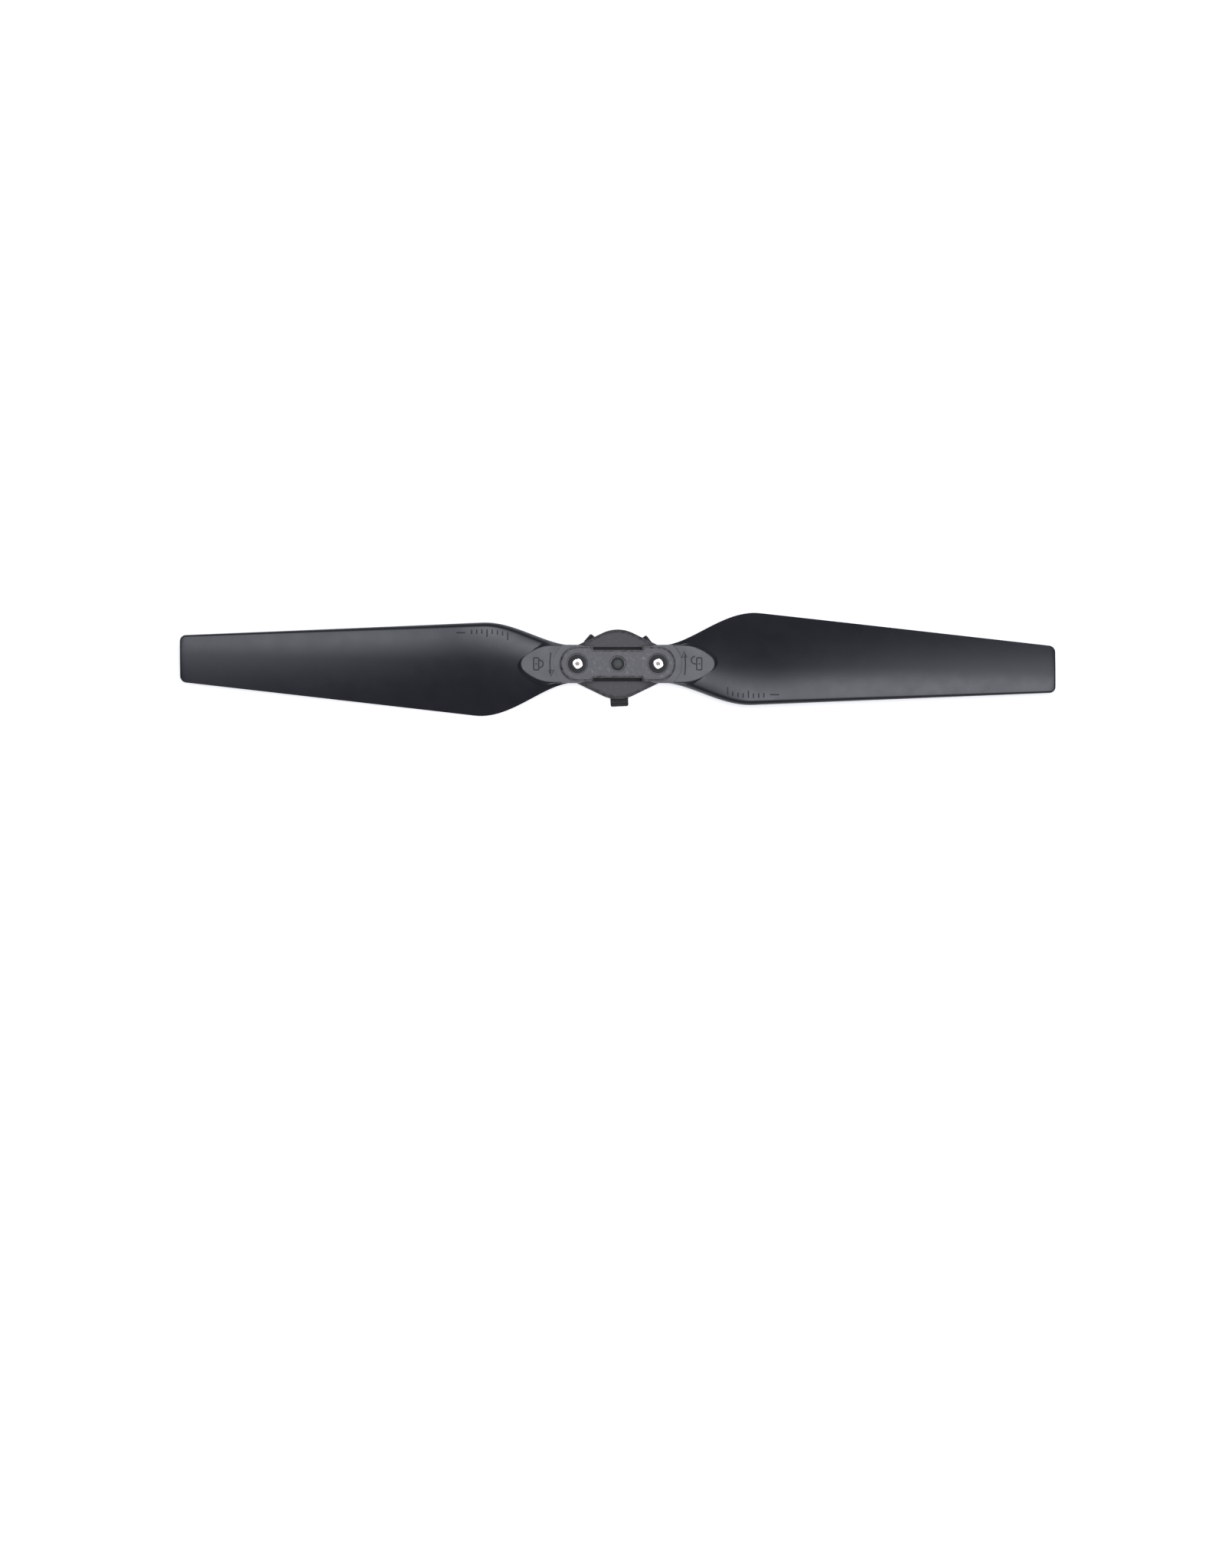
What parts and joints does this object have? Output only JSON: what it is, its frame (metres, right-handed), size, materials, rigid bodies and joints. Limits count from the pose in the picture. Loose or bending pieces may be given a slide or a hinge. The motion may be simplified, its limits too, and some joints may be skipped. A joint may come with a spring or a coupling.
{
  "type": "folding drone propeller",
  "caption": "Slim folding drone propeller: tapered twisted blades on riveted pivots in a clevis hub with a bayonet skirt for a quick-release motor.",
  "frame": {"origin": "on the shaft's axis, at the seat: the lower face of the hub's skirt, which meets the motor", "axes": "+Z along the shaft away from the motor; the unfolded blades lie along +X and -X; +Y completes the frame. Seen from +Z the propeller turns clockwise, so the blade along +X leads with its -Y edge."},
  "size_m": [0.1956, 0.023, 0.0091],
  "materials": {
    "hub_plastic": "fine mottled mould texture, glass filled",
    "blade_plastic": "satin, faintly bluish dark grey",
    "polished_steel": "bright polished rivet head",
    "washer_steel": "plain zinc washer",
    "bush_brass": "turned",
    "slip_plastic": "smooth slippery sheet",
    "dark_steel": "dark oxide, turned"
  },
  "bodies": {
    "hub": {"hub_base": "hub_plastic", "top_plate": "hub_plastic", "pivot_pin_right": "polished_steel", "pivot_pin_left": "polished_steel", "backing_washer_right": "washer_steel", "backing_washer_left": "washer_steel", "lower_thrust_washer_right": "slip_plastic", "lower_thrust_washer_left": "slip_plastic", "upper_thrust_washer_right": "slip_plastic", "upper_thrust_washer_left": "slip_plastic", "shaft_insert": "dark_steel"},
    "right_blade": {"blade_right": "blade_plastic", "pivot_bush_right": "bush_brass"},
    "left_blade": {"blade_left": "blade_plastic", "pivot_bush_left": "bush_brass"}
  },
  "joints": [
    {"name": "right_blade_fold", "type": "hinge", "parent": "hub", "child": "right_blade", "pos_m": [0.009, 0, 0.0055], "axis": [0, 0, 1], "range_deg": [-90, 90]},
    {"name": "left_blade_fold", "type": "hinge", "parent": "hub", "child": "left_blade", "pos_m": [-0.009, 0, 0.0055], "axis": [0, 0, 1], "range_deg": [-90, 90]}
  ]
}
